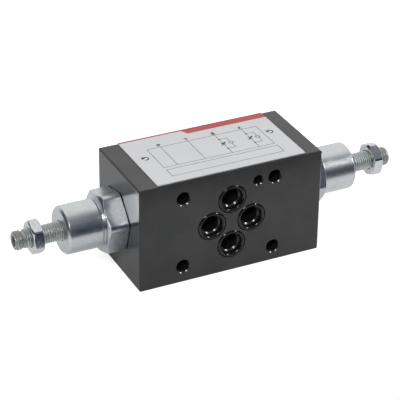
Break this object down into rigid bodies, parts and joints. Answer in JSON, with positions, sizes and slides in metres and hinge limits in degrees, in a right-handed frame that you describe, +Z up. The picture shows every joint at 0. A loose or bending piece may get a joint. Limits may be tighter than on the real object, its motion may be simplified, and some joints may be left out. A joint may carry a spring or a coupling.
{
  "type": "hydraulic sandwich valve",
  "caption": "Stacking hydraulic throttle-check valve: black steel block with sealed ports in a standard face pattern and a plated cartridge with adjusting screw and lock nut at each end.",
  "frame": {"origin": "middle of the resting face, below the centre of the bounding box", "axes": "+X along the cartridges, -Y out of the port face with the seals, +Z up out of the name plate"},
  "size_m": [0.1694, 0.0406, 0.0464],
  "materials": {
    "body_black": "satin black phosphate",
    "plate": "printed satin sheet",
    "rubber": "oiled nitrile",
    "zinc": "bright zinc plating",
    "steel": "ground steel",
    "spring": "oiled spring wire"
  },
  "bodies": {
    "valve": {"valve_body": "body_black", "name_plate": "plate", "seal_p": "rubber", "seal_t": "rubber", "seal_a": "rubber", "seal_b": "rubber", "left_housing": "zinc", "left_housing_seal": "rubber", "left_seat_ring": "steel", "left_check_spring": "spring", "left_spring_ring": "steel", "right_housing": "zinc", "right_housing_seal": "rubber", "right_seat_ring": "steel", "right_check_spring": "spring", "right_spring_ring": "steel"},
    "left_throttle": {"left_plunger": "steel", "left_plunger_seal": "rubber"},
    "left_screw": {"left_adjusting_screw": "zinc"},
    "left_nut": {"left_lock_nut": "zinc"},
    "left_check": {"left_poppet": "steel"},
    "right_throttle": {"right_plunger": "steel", "right_plunger_seal": "rubber"},
    "right_screw": {"right_adjusting_screw": "zinc"},
    "right_nut": {"right_lock_nut": "zinc"},
    "right_check": {"right_poppet": "steel"}
  },
  "joints": [
    {"name": "left_plunger_slide", "type": "slide", "parent": "valve", "child": "left_throttle", "axis": [1, 0, 0], "range_m": [-0.00125, 0.00375]},
    {"name": "left_screw_turn", "type": "hinge", "parent": "left_throttle", "child": "left_screw", "pos_m": [-0.07, 0.00205, 0.023], "axis": [1, 0, 0], "range_deg": [-450, 1350]},
    {"name": "left_nut_travel", "type": "slide", "parent": "valve", "child": "left_nut", "axis": [1, 0, 0], "range_m": [-0.0023, 0.00845]},
    {"name": "left_poppet_lift", "type": "slide", "parent": "valve", "child": "left_check", "axis": [-1, 0, 0], "range_m": [0, 0.0025], "stiffness_N_per_m": 1000, "springref_m": -0.0019, "deforming": ["left_check_spring"]},
    {"name": "right_plunger_slide", "type": "slide", "parent": "valve", "child": "right_throttle", "axis": [-1, 0, 0], "range_m": [-0.00125, 0.00375]},
    {"name": "right_screw_turn", "type": "hinge", "parent": "right_throttle", "child": "right_screw", "pos_m": [0.07, 0.00205, 0.023], "axis": [-1, 0, 0], "range_deg": [-450, 1350]},
    {"name": "right_nut_travel", "type": "slide", "parent": "valve", "child": "right_nut", "axis": [-1, 0, 0], "range_m": [-0.0005, 0.01025]},
    {"name": "right_poppet_lift", "type": "slide", "parent": "valve", "child": "right_check", "axis": [1, 0, 0], "range_m": [0, 0.0025], "stiffness_N_per_m": 1000, "springref_m": -0.0019, "deforming": ["right_check_spring"]}
  ],
  "couplings": [
    {"joint": "left_screw_turn", "follows": "left_plunger_slide", "rad_per_m": 6283.2},
    {"joint": "right_screw_turn", "follows": "right_plunger_slide", "rad_per_m": 6283.2}
  ]
}
